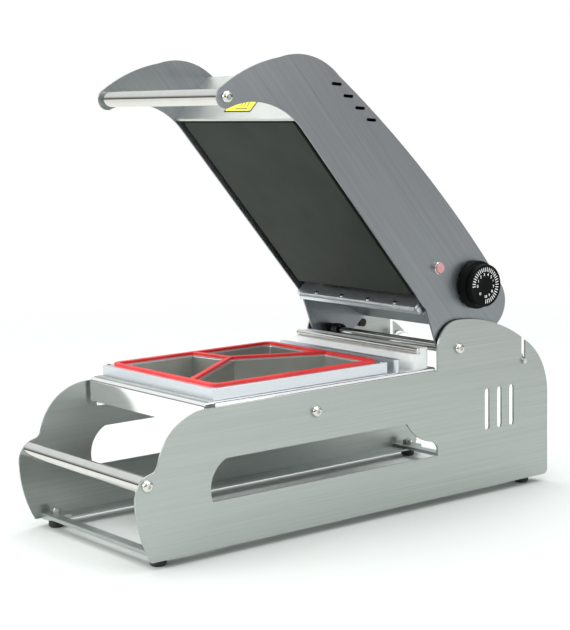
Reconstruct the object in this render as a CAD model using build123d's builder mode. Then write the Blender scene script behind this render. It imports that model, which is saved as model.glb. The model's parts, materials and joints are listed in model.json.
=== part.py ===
from build123d import *
from math import atan2, cos, degrees, hypot, radians, sin, sqrt
import os

os.makedirs("parts", exist_ok=True)

# Manual tray sealing machine, millimetres. +Z is up, the operator stands at -Y and the
# thermostat is on the +X side. The origin is on the floor, under the middle of the machine.
# The head is drawn standing open, which is how it rests.

# ---------------------------------------------------------------- driving dimensions
base_width = 220.0          # over both side plates
base_length = 539.0         # front bottom corner to rear edge of a side plate
plate = 2.0                 # side plate thickness
foot_height = 8.0
foot_radius = 8.0
side_height = 138.0         # side plate's long top edge above its bottom edge
flange_width = 22.0         # inward bottom flange of a side plate
flange_setback = 6.0        # flange's ends from the plate's ends
flange_corner = 14.0
front_bulge = 16.3          # how far the front edge leans out over its bottom corner
front_radius = 127.0        # round of the front edge up to there
bulge_drop = 14.3           # that furthest point below the lower handle
shoulder_radius = 59.5      # big round at the front top of a side plate
shoulder_setback = 68.0     # centre of that round behind the bottom corner
tower_radius = 31.0         # round of the plate about the hinge pin
pivot_rise = 21.0           # hinge pin above the plate's long top edge
hinge_to_rear = 139.0       # hinge pin in front of the plate's rear edge
rear_top_radius = 178.4     # long round from the hinge down to the film slot
rear_low_radius = 72.4      # round of the rear top corner
rear_low_drop = 43.6        # centre of that round below the long top edge
slot_to_rear = 39.0         # film shaft slot in front of the plate's rear edge
slot_width = 6.0
slot_drop = 4.0             # film shaft's axis below the long top edge
window_low = 46.4           # side window, above the plate's bottom edge
window_high = 87.0
window_front = 101.4        # centre of the window's round front end
window_radius = 31.7
window_round_rise = 11.6    # that centre above the window's lower edge
window_step = 44.0          # length of the stepped rear end of the window
vent_to_rear = 77.0         # middle one of three upright vents, in front of the rear edge
vent_level = 87.0           # their middle above the plate's bottom edge
vent_height = 46.0
vent_width = 7.0
vent_pitch = 19.0
bolt_inset = 13.0           # foot bolts inside the side plate's inner face
bolt_front = 17.0           # and behind its front bottom corner
bolt_rear = 27.0            # and in front of its rear edge

deck_sheet = 1.5
deck_rise = 4.0             # deck top over the side plate's long top edge
deck_front = 69.0           # apron behind the front bottom corner
deck_lead = 32.0            # deck and window end this far in front of the hinge pin
deck_bend = 4.0
deck_relief = 5.0           # round relief slot where the apron meets a side flange
apron_drop = 25.0
deck_flange_drop = 32.0
deck_screw_setback = 201.0  # behind the front bottom corner
deck_screw_drop = 24.6      # below the deck's top

die_side_room = 10.5        # die's edge inside the outer face of the side plate
die_lead = 13.5             # die's front edge behind the apron
die_rear_room = 93.5        # die's rear edge in front of the hinge pin
die_thickness = 11.5
die_gap = 0.3               # die over the deck it lies on
die_land = 10.0             # deck under the die's edge, all round
die_screw_inset = 4.5       # corner screws from the die's edges
die_screw_depth = 6.0
seal_width = 6.0
seal_rise = 3.0             # silicone above the die
seal_sink = 1.5             # silicone in its groove
seal_margin = 8.5           # die edge to the middle of the silicone strip
seal_corner = 12.0
pocket_depth = 45.0
pocket_wall = 1.0
pocket_land = 4.5           # middle of the silicone strip to the pocket's wall
divider_middle = (-36.0, 8.0)    # where the three dividers meet, from the die's centre
divider_left = -2.0              # left divider's end on the left wall
divider_front = 51.0             # front divider's end on the front wall
divider_rear = 11.0              # rear divider's end on the rear wall

open_angle = 50.0           # head's swing from closed to its open rest
close_gap = 0.4             # hot plate to silicone when closed
head_gap = 2.5              # base side plate to head side plate
head_plate = 2.0
head_sheet = 1.2
head_edge = 3.5             # head side plate's straight edge below the hinge pin's level
handle_setback = 0.3        # head handle behind the front bottom corner, head closed
handle_spacing = 32.0       # head handle over the lower handle, head closed
head_height = 96.0          # top of the head over the hinge pin, head closed
head_top_radius = 1300.0
nose_radius = 74.8          # round of the head's front top corner
nose_back = 82.3            # its centre behind the head handle
nose_drop = 104.4           # and below the top of the head
nose_front_radius = 168.8   # round from there down to the handle
nose_front_back = 157.8
nose_front_drop = 57.4      # centre below that of the front top round
nose_inner_radius = 79.5    # hollow round behind the handle
nose_inner_back = 85.0
tail_radius = 25.0
tail_corner = 30.0
tail_reach = 5.0            # centre of the rear top corner in front of the hinge pin
tail_drop = 32.0            # and below the top of the head
hot_front_over = 5.5        # hot plate past the die, in front
hot_rear_over = 11.5
hot_side_inset = 4.5        # hot plate inside the die's sides
hot_thickness = 10.0
stud_height = 10.0          # insulation board over the hot plate
board_thickness = 6.0
stud_inset = (12.0, 18.0)   # studs inside the hot plate's sides and ends

tube_radius = 8.0           # both handles
tube_wall = 1.5
screw_head_radius = 6.0
screw_head_height = 4.5
screw_radius = 3.0
screw_clearance = 0.15
socket_radius = 2.3         # hexagon socket of a dome screw
socket_depth = 2.2
lower_handle_drop = 63.7    # below the plate's long top edge
lower_handle_lead = 3.0     # in front of the front bottom corner

pin_radius = 4.5            # hinge pin
bush_wall = 2.0
running_gap = 0.05          # radial, between a shaft and its bore
spring_room = 2.5           # hinge pin to the middle of the spring's wire
spring_wire = 2.0
spring_turns = 4
collar_wall = 2.5
collar_width = 5.0
rod_radius = 3.0
rod_lead = 51.0             # film rod in front of the hinge pin
rod_rise = 2.0              # film rod over the hinge pin's level
knife_lead = 66.5           # knife bar's middle in front of the hinge pin
knife_width = 11.0
knife_height = 10.0         # knife bar below the hinge pin's level, head closed
knife_top = 8.0             # and above it
knife_gap = 2.0             # knife bar to the anvil in front of it
anvil_width = 8.0
anvil_height = 12.5
block_width = 24.5
block_gap = 2.5             # knife bar to the guide block behind it
block_rise = 4.0            # guide block's top over the hinge pin's level
rod_gap = 0.3               # film rod to the step that it lies in
inside_gap = 2.5            # head side plate to whatever stands between the two of them

knob_reach = 32.5           # thermostat in front of the hinge pin, head closed
knob_rise = 64.7
knob_radius = 23.0
knob_skirt_radius = 26.0
knob_skirt_depth = 7.0
knob_depth = 17.0
stem_radius = 3.0
stem_length = 12.0
lamp_reach = 85.6
lamp_rise = 36.2
lamp_radius = 6.0           # its hole in the head's side plate
lamp_rim = 0.6              # bezel over that hole, and lens inside it
lamp_depth = 7.0            # lens in front of the side plate
shaft_radius = 5.0          # film shaft
cone_radius = 13.0
cone_length = 22.0
cone_inset = 14.0           # cone's big end from the base side plate
cone_rim = 5.0              # straight rim at that end
cone_step = 2.0             # rim over the cone behind it
hub_radius = 9.0
hub_length = 8.0

# ---------------------------------------------------------------- places worked out from them
front = -base_length / 2
base_half = base_width / 2
inner_half = base_half - plate
head_half = inner_half - head_gap
head_inner = head_half - head_plate
between = head_inner - inside_gap
floor_z = foot_height
side_top = floor_z + side_height
deck_top = side_top + deck_rise
pivot_setback = base_length - hinge_to_rear
pivot_y = front + pivot_setback
pivot_z = side_top + pivot_rise
film_y = front + base_length - slot_to_rear
film_z = side_top - slot_drop
deck_rear = pivot_setback - deck_lead
die_width = base_width - 2 * die_side_room
die_length = pivot_setback - die_rear_room - deck_front - die_lead
die_y = pivot_y - die_rear_room - die_length / 2
die_bottom = deck_top + die_gap
die_top = die_bottom + die_thickness
seal_top = die_top + seal_rise
hot_face = seal_top + close_gap - pivot_z        # hot plate's face in the head's own frame
hot_back = hot_face + hot_thickness
hot_front = die_rear_room + die_length + hot_front_over
hot_rear = die_rear_room - hot_rear_over
hot_length = hot_front - hot_rear
hot_middle = (hot_front + hot_rear) / 2
hot_width = die_width - 2 * hot_side_inset
board_low = hot_back + stud_height
board_top = board_low + board_thickness
lower_handle = (front - lower_handle_lead, side_top - lower_handle_drop)
deck_screw_seat = (front + deck_screw_setback, deck_top - deck_screw_drop)
forward = Vector(0, -cos(radians(open_angle)), sin(radians(open_angle)))
upward = Vector(0, sin(radians(open_angle)), cos(radians(open_angle)))
pivot = Vector(0, pivot_y, pivot_z)
# A side view of the head: local x runs forward from the hinge pin, local y runs up.
head_side = Plane(origin=pivot, x_dir=forward, z_dir=(-1, 0, 0))


def head_level(height):
    """Return the plane parallel to the hot plate, at a height over the hinge pin.

    Its local x is the machine's X and its local y runs back towards the hinge pin.
    """
    return Plane(origin=pivot + upward * height, x_dir=(1, 0, 0), z_dir=upward)


def head_wall(x):
    """Return the head's side view at one X, looking outwards along +X."""
    return Plane(origin=pivot + Vector(x, 0, 0), x_dir=forward * -1, z_dir=(1, 0, 0))


def side_wall(x):
    """Return the plane of a base side view at one X: local x is Y, local y is Z."""
    return Plane.YZ.offset(x)


def on_circle(centre, radius, angle):
    """Return the point of a circle at an angle in degrees."""
    return (centre[0] + radius * cos(radians(angle)), centre[1] + radius * sin(radians(angle)))


def save(builder, name):
    """Label a finished sub-part and write it as one STEP file."""
    builder.part.label = name
    export_step(builder.part, "parts/" + name + ".step")


def base_outline():
    """Return the outline of a base side plate, in Y and Z."""
    rear = front + base_length
    bulge = (front - front_bulge, lower_handle[1] - bulge_drop)
    lobe_middle = (lower_handle[0] - tube_radius - 1.0, lower_handle[1] + 1.5)
    lobe_top = (lower_handle[0] + 1.0, lower_handle[1] + tube_radius + 1.5)
    shoulder = (front + shoulder_setback, side_top - shoulder_radius)
    shoulder_low = on_circle(shoulder, shoulder_radius, 167.0)
    tower_front = pivot_y - tower_radius
    tower_top = (pivot_y, pivot_z + tower_radius)
    rear_low = (rear - rear_low_radius, side_top - rear_low_drop)
    rear_top = (pivot_y, tower_top[1] - rear_top_radius)
    slot_rise = sqrt(rear_top_radius ** 2 - (film_y - pivot_y) ** 2)
    fin = (film_y + slot_width / 2, rear_top[1] + slot_rise - 2.0)
    low_start = (rear, rear_low[1])
    middle = on_circle(rear_low, rear_low_radius, 29.0)
    with BuildLine() as outline:
        RadiusArc((front, floor_z), bulge, front_radius)
        ThreePointArc(bulge, lobe_middle, lobe_top)
        Line(lobe_top, (front + 3.0, lobe_top[1] + 1.3))
        ThreePointArc((front + 3.0, lobe_top[1] + 1.3), (front + 7.4, lobe_top[1] + 3.6), shoulder_low)
        ThreePointArc(shoulder_low, on_circle(shoulder, shoulder_radius, 130.0), (shoulder[0], side_top))
        Line((shoulder[0], side_top), (tower_front, side_top))
        Line((tower_front, side_top), (tower_front, pivot_z))
        ThreePointArc((tower_front, pivot_z), on_circle((pivot_y, pivot_z), tower_radius, 135.0), tower_top)
        ThreePointArc(tower_top, on_circle(rear_top, rear_top_radius, 73.0), fin)
        ThreePointArc(fin, middle, low_start)
        Line(low_start, (rear, floor_z + 6.0))
        ThreePointArc((rear, floor_z + 6.0), (rear - 1.8, floor_z + 1.8), (rear - 6.0, floor_z))
        Line((rear - 6.0, floor_z), (front, floor_z))
    return outline.line


def window_outline():
    """Return the outline of the long side window, in Y and Z."""
    low = floor_z + window_low
    high = floor_z + window_high
    centre = (front + window_front, low + window_round_rise)
    reach_low = sqrt(window_radius ** 2 - window_round_rise ** 2)
    reach_high = sqrt(window_radius ** 2 - (high - centre[1]) ** 2)
    rear = front + deck_rear
    step = rear - window_step
    with BuildLine() as outline:
        ThreePointArc((centre[0] - reach_high, high), (centre[0] - window_radius, centre[1]),
                      (centre[0] - reach_low, low))
        Line((centre[0] - reach_low, low), (rear, low))
        Line((rear, low), (rear, low + 8.7))
        ThreePointArc((rear, low + 8.7), (rear - 3.2, low + 13.4), (rear - 8.5, low + 16.4))
        ThreePointArc((rear - 8.5, low + 16.4), (rear - 31.0, low + 26.0), (step, high))
        Line((step, high), (centre[0] - reach_high, high))
    return outline.line


def dome_screw(side, x, y, z, length):
    """Return a dome-headed screw that enters a side wall from outside, with a hexagon socket."""
    with BuildPart() as screw:
        with BuildSketch(side_wall(side * x)):
            with Locations((y, z)):
                Circle(screw_head_radius)
        extrude(amount=side * screw_head_height)
        rim = faces().sort_by(Axis.X)[-1 if side > 0 else 0].edges()
        fillet(rim, screw_head_height * 0.75)
        with BuildSketch(side_wall(side * (x + screw_head_height))):
            with Locations((y, z)):
                RegularPolygon(socket_radius, 6)
        extrude(amount=-side * socket_depth, mode=Mode.SUBTRACT)
        with BuildSketch(side_wall(side * x)):
            with Locations((y, z)):
                Circle(screw_radius)
        extrude(amount=-side * length)
    return screw.part


def screw_pair(x, y, z, length):
    """Return one dome screw at each side of the machine."""
    return [dome_screw(side, x, y, z, length) for side in (-1, 1)]


# ---------------------------------------------------------------- base frame
vent_y = front + base_length - vent_to_rear
bar_seats = {"front_cross_bar": front + bolt_front, "rear_cross_bar": front + base_length - bolt_rear}
for side, sign in (("right", 1), ("left", -1)):
    with BuildPart() as base_side_plate:
        with BuildSketch(side_wall(sign * inner_half)):
            make_face(base_outline())
            make_face(window_outline(), mode=Mode.SUBTRACT)
            with Locations((film_y, film_z)):
                Circle(slot_width / 2, mode=Mode.SUBTRACT)
            with Locations((film_y, film_z + side_height / 2)):
                Rectangle(slot_width, side_height, mode=Mode.SUBTRACT)
            with Locations((pivot_y, pivot_z), lower_handle, deck_screw_seat):
                Circle(screw_radius + screw_clearance, mode=Mode.SUBTRACT)
            for step in (-1, 0, 1):
                with Locations((vent_y + step * vent_pitch, floor_z + vent_level)):
                    SlotOverall(vent_height, vent_width, rotation=90, mode=Mode.SUBTRACT)
        extrude(amount=sign * plate)
        with BuildSketch(Plane.XY.offset(floor_z)):
            with Locations((sign * (inner_half - flange_width / 2), 0)):
                Rectangle(flange_width, base_length - 2 * flange_setback)
            corners = vertices().group_by(Axis.X)[0 if sign > 0 else -1]
            fillet(corners, flange_corner)
            with Locations(*[(sign * (inner_half - bolt_inset), y) for y in bar_seats.values()]):
                Circle(screw_radius + screw_clearance, mode=Mode.SUBTRACT)
        extrude(amount=plate)
    save(base_side_plate, "base_side_plate_" + side)

deck_flange = inner_half - deck_sheet
opening_width = die_width - 2 * die_land
opening_length = die_length - 2 * die_land
with BuildPart() as deck_plate:
    with BuildSketch(Plane.XY.offset(deck_top - deck_flange_drop)):
        with Locations((0, front + (deck_front + deck_rear) / 2)):
            Rectangle(2 * inner_half, deck_rear - deck_front)
    extrude(amount=deck_flange_drop)
    top_edges = faces().sort_by(Axis.Z)[-1].edges()
    fillet(top_edges.filter_by(Axis.Y) + top_edges.sort_by(Axis.Y)[0:1], deck_bend)
    with BuildSketch(Plane.XZ.offset(-front - deck_rear)):
        with Locations((0, deck_top - deck_sheet - deck_flange_drop / 2)):
            Rectangle(2 * deck_flange, deck_flange_drop)
        fillet(vertices().group_by(Axis.Y)[-1], deck_bend - deck_sheet)
    extrude(amount=deck_rear - deck_front - deck_sheet, mode=Mode.SUBTRACT)
    with BuildSketch(Plane.XY.offset(deck_top - deck_flange_drop)):
        with Locations((0, front + deck_front)):
            Rectangle(2 * base_half, 4 * deck_sheet)
    extrude(amount=deck_flange_drop - apron_drop, mode=Mode.SUBTRACT)
    with BuildSketch(Plane.XY.offset(deck_top - deck_flange_drop)):
        for sign in (-1, 1):
            with Locations((sign * (inner_half - 2.0), front + deck_front)):
                SlotOverall(22.0, deck_relief, rotation=90)
    extrude(amount=deck_flange_drop, mode=Mode.SUBTRACT)
    with BuildSketch(Plane.XY.offset(deck_top - deck_sheet)):
        with Locations((0, die_y)):
            RectangleRounded(opening_width, opening_length, 10.0)
    extrude(amount=deck_sheet, mode=Mode.SUBTRACT)
    with BuildSketch(side_wall(-base_half)):
        with Locations(deck_screw_seat):
            Circle(screw_radius + screw_clearance)
    extrude(amount=base_width, mode=Mode.SUBTRACT)
save(deck_plate, "deck_plate")

bar_width = 22.0            # cross bar about its bolts
bar_waist = 11.0            # and between them
bar_end = 26.0              # length of its wide ends
bar_height = 4.0
for name, y in bar_seats.items():
    with BuildPart() as cross_bar:
        with BuildSketch(Plane.XY.offset(floor_z + plate)):
            with Locations((inner_half - bar_end / 2, y), (bar_end / 2 - inner_half, y)):
                Rectangle(bar_end, bar_width)
            with Locations((0, y - (bar_width - bar_waist) / 2)):
                Rectangle(2 * inner_half, bar_waist)
            with Locations((inner_half - bolt_inset, y), (bolt_inset - inner_half, y)):
                Circle(screw_radius + screw_clearance, mode=Mode.SUBTRACT)
        extrude(amount=bar_height)
        top_edges = faces().sort_by(Axis.Z)[-1].edges().filter_by(Axis.X)
        fillet(top_edges.sort_by(Axis.Y)[0:1], 1.0)
    save(cross_bar, name)

bolt_seats = [(side * (inner_half - bolt_inset), y) for side in (-1, 1) for y in bar_seats.values()]
head_recess = 5.0           # bolt heads sunk in the feet, up from the floor
with BuildPart() as rubber_feet:
    with BuildSketch():
        with Locations(*bolt_seats):
            Circle(foot_radius)
    extrude(amount=foot_height)
    chamfer(faces().group_by(Axis.Z)[0].edges(), 1.5)
    with BuildSketch():
        with Locations(*bolt_seats):
            Circle(4.5)
    extrude(amount=head_recess, mode=Mode.SUBTRACT)
    with BuildSketch():
        with Locations(*bolt_seats):
            Circle(screw_radius + screw_clearance)
    extrude(amount=foot_height, mode=Mode.SUBTRACT)
save(rubber_feet, "rubber_feet")

nut_height = 5.0
bar_top = floor_z + plate + bar_height
with BuildPart() as cross_bar_bolts:
    with BuildSketch(Plane.XY.offset(head_recess)):
        with Locations(*bolt_seats):
            Circle(screw_radius)
    extrude(amount=bar_top + nut_height + 1.0 - head_recess)
    with BuildSketch(Plane.XY.offset(head_recess - 2.5)):
        with Locations(*bolt_seats):
            Circle(4.3)
    extrude(amount=2.5)
save(cross_bar_bolts, "cross_bar_bolts")

with BuildPart() as cross_bar_nuts:
    with BuildSketch(Plane.XY.offset(bar_top)):
        with Locations(*bolt_seats):
            RegularPolygon(5.6, 6)
            Circle(screw_radius + screw_clearance, mode=Mode.SUBTRACT)
    extrude(amount=nut_height)
save(cross_bar_nuts, "cross_bar_nuts")


plug_length = 14.0          # drilled plug in each end of a handle tube


def handle_tube(centre, half, plane):
    """Return a handle tube across the machine, with a drilled plug in each end."""
    with BuildPart() as tube:
        with BuildSketch(plane):
            with Locations(centre):
                Circle(tube_radius)
        extrude(amount=half, both=True)
        with BuildSketch(plane):
            with Locations(centre):
                Circle(tube_radius - tube_wall)
        extrude(amount=half - plug_length, both=True, mode=Mode.SUBTRACT)
        with BuildSketch(plane):
            with Locations(centre):
                Circle(screw_radius + screw_clearance)
        extrude(amount=half, both=True, mode=Mode.SUBTRACT)
    return tube.part


with BuildPart() as lower_handle_tube:
    add(handle_tube(lower_handle, inner_half, Plane.YZ))
save(lower_handle_tube, "lower_handle_tube")

with BuildPart() as lower_handle_screws:
    add(screw_pair(base_half, *lower_handle, plate + plug_length - 2.0))
save(lower_handle_screws, "lower_handle_screws")

with BuildPart() as deck_screws:
    add(screw_pair(base_half, *deck_screw_seat, plate + deck_sheet + 4.0))
save(deck_screws, "deck_screws")

# ---------------------------------------------------------------- hinge pin and springs
with BuildPart() as hinge_pin:
    with BuildSketch(Plane.YZ):
        with Locations((pivot_y, pivot_z)):
            Circle(pin_radius)
            Circle(screw_radius + screw_clearance, mode=Mode.SUBTRACT)
    extrude(amount=inner_half, both=True)
save(hinge_pin, "hinge_pin")

with BuildPart() as hinge_screws:
    add(screw_pair(base_half, pivot_y, pivot_z, plate + 14.0))
save(hinge_screws, "hinge_screws")

collar_x = between - collar_width
with BuildPart() as shaft_collars:
    for sign in (-1, 1):
        with BuildSketch(side_wall(sign * collar_x)):
            with Locations((pivot_y, pivot_z)):
                Circle(pin_radius + collar_wall)
                Circle(pin_radius, mode=Mode.SUBTRACT)
        extrude(amount=sign * collar_width)
save(shaft_collars, "shaft_collars")

spring_pitch = spring_wire * 1.25
spring_start = collar_x - spring_wire / 2 - 0.2
spring_length = spring_turns * spring_pitch
with BuildPart() as hinge_springs:
    for sign in (-1, 1):
        with BuildLine() as coil:
            Helix(spring_pitch, spring_length, pin_radius + spring_room,
                  center=(sign * spring_start, pivot_y, pivot_z), direction=(-sign, 0, 0))
        with BuildSketch(Plane(origin=coil.line @ 0, z_dir=coil.line % 0)):
            Circle(spring_wire / 2)
        sweep(path=coil.line, is_frenet=True)
save(hinge_springs, "hinge_springs")

stop_radius = 5.0
stop_along = 40.0
stop_gap = 0.3              # head's tail to the stop it rests against
stop_centre = pivot + upward * stop_along - forward * (tail_radius + stop_radius + stop_gap)
stop_start = head_inner + 0.2
with BuildPart() as open_stops:
    for sign in (-1, 1):
        with BuildSketch(side_wall(sign * stop_start)):
            with Locations((stop_centre.Y, stop_centre.Z)):
                Circle(stop_radius)
        extrude(amount=sign * (inner_half - stop_start))
save(open_stops, "open_stops")

# ---------------------------------------------------------------- film path behind the die
anvil_y = pivot_y - knife_lead - knife_width / 2 - knife_gap - anvil_width / 2
with BuildPart() as anvil_bar:
    with BuildSketch(Plane.XY.offset(deck_top)):
        with Locations((0, anvil_y)):
            RectangleRounded(2 * between - 4.0, anvil_width, anvil_width / 2 - 0.5)
    extrude(amount=anvil_height)
save(anvil_bar, "anvil_bar")

block_y = pivot_y - knife_lead + knife_width / 2 + block_gap + block_width / 2
block_front = block_y - block_width / 2
rod_y = pivot_y - rod_lead
rod_z = pivot_z + rod_rise
step_y = rod_y + rod_radius + rod_gap
step_z = rod_z - rod_radius - rod_gap
with BuildPart() as film_guide_block:
    with BuildSketch(Plane.XY.offset(deck_top)):
        with Locations((0, block_y)):
            RectangleRounded(2 * between, block_width, 6.0)
    extrude(amount=pivot_z + block_rise - deck_top)
    with BuildSketch(side_wall(-base_half)):
        with Locations(((block_front + step_y) / 2, step_z + block_width / 2)):
            Rectangle(step_y - block_front, block_width)
    extrude(amount=base_width, mode=Mode.SUBTRACT)
save(film_guide_block, "film_guide_block")

with BuildPart() as film_guide_rod:
    with BuildSketch(Plane.YZ):
        with Locations((rod_y, rod_z)):
            Circle(rod_radius)
    extrude(amount=between + 1.0, both=True)
    chamfer(edges().filter_by(GeomType.CIRCLE), 0.8)
save(film_guide_rod, "film_guide_rod")

strip_sheet = 0.8
tooth_pitch = 3.0
tooth_depth = 2.0
strip_front = front + deck_front + deck_bend
strip_rear = die_y - die_length / 2 - 1.0
strip_half = tooth_pitch * int((inner_half - 5.0) / tooth_pitch)
with BuildPart() as film_tear_strip:
    with BuildSketch(Plane.XY.offset(deck_top)):
        with BuildLine():
            teeth = int(2 * strip_half / tooth_pitch)
            zigzag = [(-strip_half, strip_rear), (-strip_half, strip_front + tooth_depth)]
            for tooth in range(teeth):
                left = -strip_half + tooth * tooth_pitch
                zigzag.append((left + tooth_pitch / 2, strip_front))
                zigzag.append((left + tooth_pitch, strip_front + tooth_depth))
            zigzag.append((strip_half, strip_rear))
            Polyline(*zigzag, close=True)
        make_face()
    extrude(amount=strip_sheet)
save(film_tear_strip, "film_tear_strip")

# ---------------------------------------------------------------- lift-out die
seal_half_x = die_width / 2 - seal_margin
seal_half_y = die_length / 2 - seal_margin
divider_ends = ((-seal_half_x, divider_left), (divider_front, -seal_half_y), (divider_rear, seal_half_y))


def die_ribs(width, mode):
    """Add the three divider strips that meet in the die, each as wide as asked."""
    for end in divider_ends:
        run = (end[0] - divider_middle[0], end[1] - divider_middle[1])
        length = hypot(*run)
        centre = ((end[0] + divider_middle[0]) / 2, (end[1] + divider_middle[1]) / 2 + die_y)
        with Locations(centre):
            Rectangle(length, width, rotation=degrees(atan2(run[1], run[0])), mode=mode)
    with Locations((divider_middle[0], divider_middle[1] + die_y)):
        Circle(width / 2, mode=mode)


def pocket_shapes(inset):
    """Draw the three pocket openings, drawn in from the die's own by an inset."""
    land = pocket_land + inset
    with Locations((0, die_y)):
        RectangleRounded(2 * (seal_half_x - land), 2 * (seal_half_y - land), seal_corner - pocket_land)
    die_ribs(2 * land, Mode.SUBTRACT)


def seal_shape(width):
    """Draw the silicone strip's plan: a rounded frame with three dividers."""
    with Locations((0, die_y)):
        RectangleRounded(2 * seal_half_x + width, 2 * seal_half_y + width, seal_corner)
        RectangleRounded(2 * seal_half_x - width, 2 * seal_half_y - width, seal_corner - width,
                         mode=Mode.SUBTRACT)
    die_ribs(width, Mode.ADD)


corner_x = die_width / 2 - die_screw_inset
corner_y = die_length / 2 - die_screw_inset
corner_seats = [(sx * corner_x, die_y + sy * corner_y) for sx in (-1, 1) for sy in (-1, 1)]
with BuildPart() as die_frame:
    with BuildSketch(Plane.XY.offset(die_bottom)):
        with Locations((0, die_y)):
            Rectangle(die_width, die_length)
    extrude(amount=die_thickness)
    chamfer(faces().sort_by(Axis.Z)[-1].edges(), 0.6)
    with BuildSketch(Plane.XY.offset(die_bottom)):
        pocket_shapes(0.0)
    extrude(amount=die_thickness, mode=Mode.SUBTRACT)
    with BuildSketch(Plane.XY.offset(die_top - seal_sink)):
        seal_shape(seal_width)
    extrude(amount=seal_sink, mode=Mode.SUBTRACT)
    with BuildSketch(Plane.XY.offset(die_top - die_screw_depth)):
        with Locations(*corner_seats):
            Circle(1.5)
    extrude(amount=die_screw_depth, mode=Mode.SUBTRACT)
save(die_frame, "die_frame")

with BuildPart() as silicone_seal:
    with BuildSketch(Plane.XY.offset(die_top - seal_sink)):
        seal_shape(seal_width)
    extrude(amount=seal_sink + seal_rise)
    fillet(faces().sort_by(Axis.Z)[-1].edges(), 0.8)
save(silicone_seal, "silicone_seal")

pocket_low = die_top - seal_sink - pocket_depth
with BuildPart() as all_pockets:
    with BuildSketch(Plane.XY.offset(pocket_low)):
        pocket_shapes(0.0)
    extrude(amount=pocket_depth)
    with BuildSketch(Plane.XY.offset(pocket_low + pocket_wall)):
        pocket_shapes(pocket_wall)
    extrude(amount=pocket_depth, mode=Mode.SUBTRACT)
for name, pocket in zip(("front", "side", "rear"), all_pockets.solids().sort_by(Axis.Y)):
    with BuildPart() as tray_pocket:
        add(pocket)
    save(tray_pocket, "tray_pocket_" + name)

with BuildPart() as die_corner_screws:
    with BuildSketch(Plane.XY.offset(die_top - die_screw_depth)):
        with Locations(*corner_seats):
            Circle(1.4)
    extrude(amount=die_screw_depth)
    with BuildSketch(Plane.XY.offset(die_top)):
        with Locations(*corner_seats):
            Circle(2.2)
    extrude(amount=1.0)
    with BuildSketch(Plane.XY.offset(die_top + 0.6)):
        with Locations(*corner_seats):
            Rectangle(4.6, 0.6)
    extrude(amount=0.5, mode=Mode.SUBTRACT)
save(die_corner_screws, "die_corner_screws")

# ---------------------------------------------------------------- film shaft
with BuildPart() as film_shaft:
    with BuildSketch(Plane.YZ):
        with Locations((film_y, film_z)):
            Circle(shaft_radius)
    extrude(amount=inner_half - 0.5, both=True)
    with BuildSketch(Plane.YZ):
        with Locations((film_y, film_z)):
            Circle(slot_width / 2 - running_gap)
    extrude(amount=base_half + 3.0, both=True)
save(film_shaft, "film_shaft")

cone_x = inner_half - cone_inset
for side, sign in (("right", 1), ("left", -1)):
    with BuildPart() as film_cone:
        with BuildSketch(side_wall(sign * cone_x)):
            with Locations((film_y, film_z)):
                Circle(cone_radius)
        extrude(amount=-sign * cone_rim)
        with BuildSketch(side_wall(sign * (cone_x - cone_rim))):
            with Locations((film_y, film_z)):
                Circle(cone_radius - cone_step)
        extrude(amount=-sign * (cone_length - cone_rim), taper=14.0)
        with BuildSketch(side_wall(sign * cone_x)):
            with Locations((film_y, film_z)):
                Circle(hub_radius)
        extrude(amount=sign * hub_length)
        with BuildSketch(side_wall(sign * (cone_x + hub_length))):
            with Locations((film_y, film_z)):
                Circle(shaft_radius + running_gap)
        extrude(amount=-sign * (cone_length + hub_length), mode=Mode.SUBTRACT)
        with BuildSketch(Plane.XY.offset(film_z)):
            with Locations((sign * (cone_x + hub_length / 2), film_y)):
                Circle(1.7)
        extrude(amount=hub_radius, mode=Mode.SUBTRACT)
    save(film_cone, "film_cone_" + side)

with BuildPart() as cone_thumb_screws:
    for sign in (-1, 1):
        seat = (sign * (cone_x + hub_length / 2), film_y)
        with BuildSketch(Plane.XY.offset(film_z + shaft_radius + 0.3)):
            with Locations(seat):
                Circle(1.6)
        extrude(amount=8.0)
        with BuildSketch(Plane.XY.offset(film_z + hub_radius + 0.3)):
            with Locations(seat):
                RegularPolygon(3.8, 12)
        extrude(amount=4.0)
save(cone_thumb_screws, "cone_thumb_screws")

# ---------------------------------------------------------------- head shell
handle = (pivot_setback - handle_setback, lower_handle[1] + handle_spacing - pivot_z)
handle_lobe = tube_radius + 3.0
nose = (handle[0] - nose_back, head_height - nose_drop)
nose_front = (handle[0] - nose_front_back, nose[1] - nose_front_drop)
tail = (tail_reach, head_height - tail_drop)
tail_back = tail[0] - tail_corner
head_vents = [(nose[0] + 3.2 - 19.0 * step, nose[1] + 66.7 + 3.7 * step) for step in range(4)]


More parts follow.
